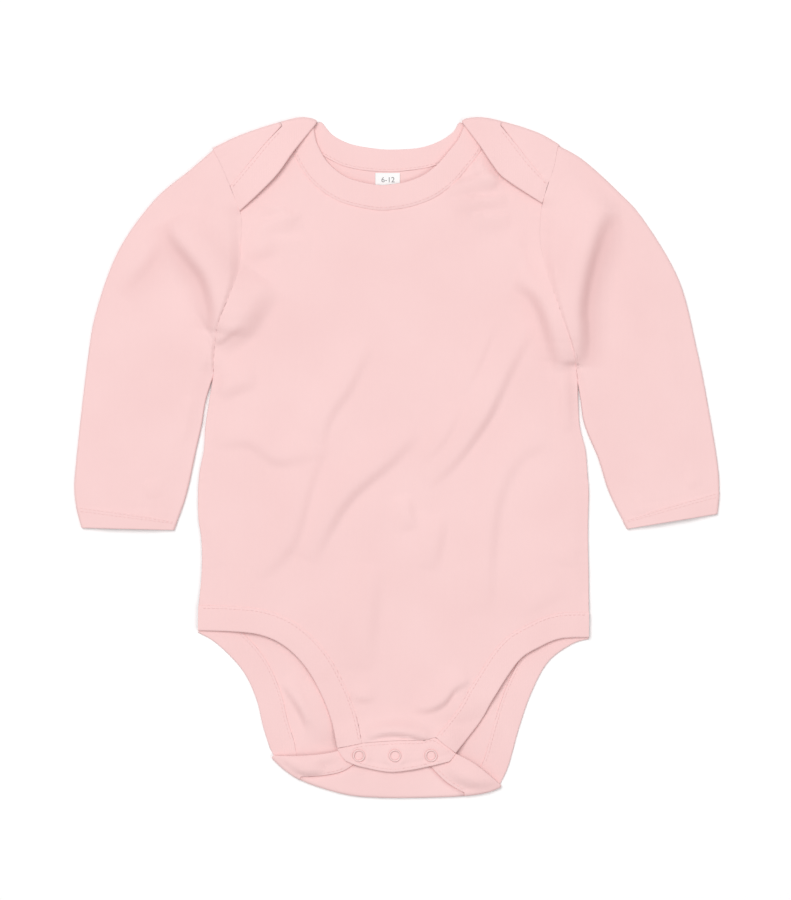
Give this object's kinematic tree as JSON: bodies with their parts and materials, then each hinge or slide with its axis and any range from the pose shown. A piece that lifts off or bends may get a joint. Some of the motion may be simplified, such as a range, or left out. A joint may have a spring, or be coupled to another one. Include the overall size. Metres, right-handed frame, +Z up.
{
  "type": "baby onesie",
  "caption": "Long-sleeved baby bodysuit laid flat, with lapped shoulders, banded neck and leg openings and a snap-fastened crotch.",
  "frame": {"origin": "bottom centre of the whole garment's box, on the surface that it lies on", "axes": "+Y towards the neck, +X towards the wearer's left sleeve, on the right of the picture, +Z up out of the surface"},
  "size_m": [0.4056, 0.4282, 0.0083],
  "materials": {
    "jersey": "pale pink cotton jersey, matt, fine knit",
    "band": "pale pink cotton jersey folded double, matt",
    "label": "white woven satin tape, plain grey numerals",
    "snap_metal": "pink enamelled ring, satin"
  },
  "bodies": {
    "root": {"back_panel": "jersey", "front_panel": "jersey", "neck_band_back": "band", "neck_band_front": "band", "sleeve_left": "jersey", "leg_band_front_left": "band", "leg_band_back_left": "band", "sleeve_right": "jersey", "leg_band_front_right": "band", "leg_band_back_right": "band", "snap_placket": "band", "size_label": "label", "snap_ring_left": "snap_metal", "snap_body_left": "snap_metal", "snap_ring_middle": "snap_metal", "snap_body_middle": "snap_metal", "snap_ring_right": "snap_metal", "snap_body_right": "snap_metal"}
  },
  "joints": []
}
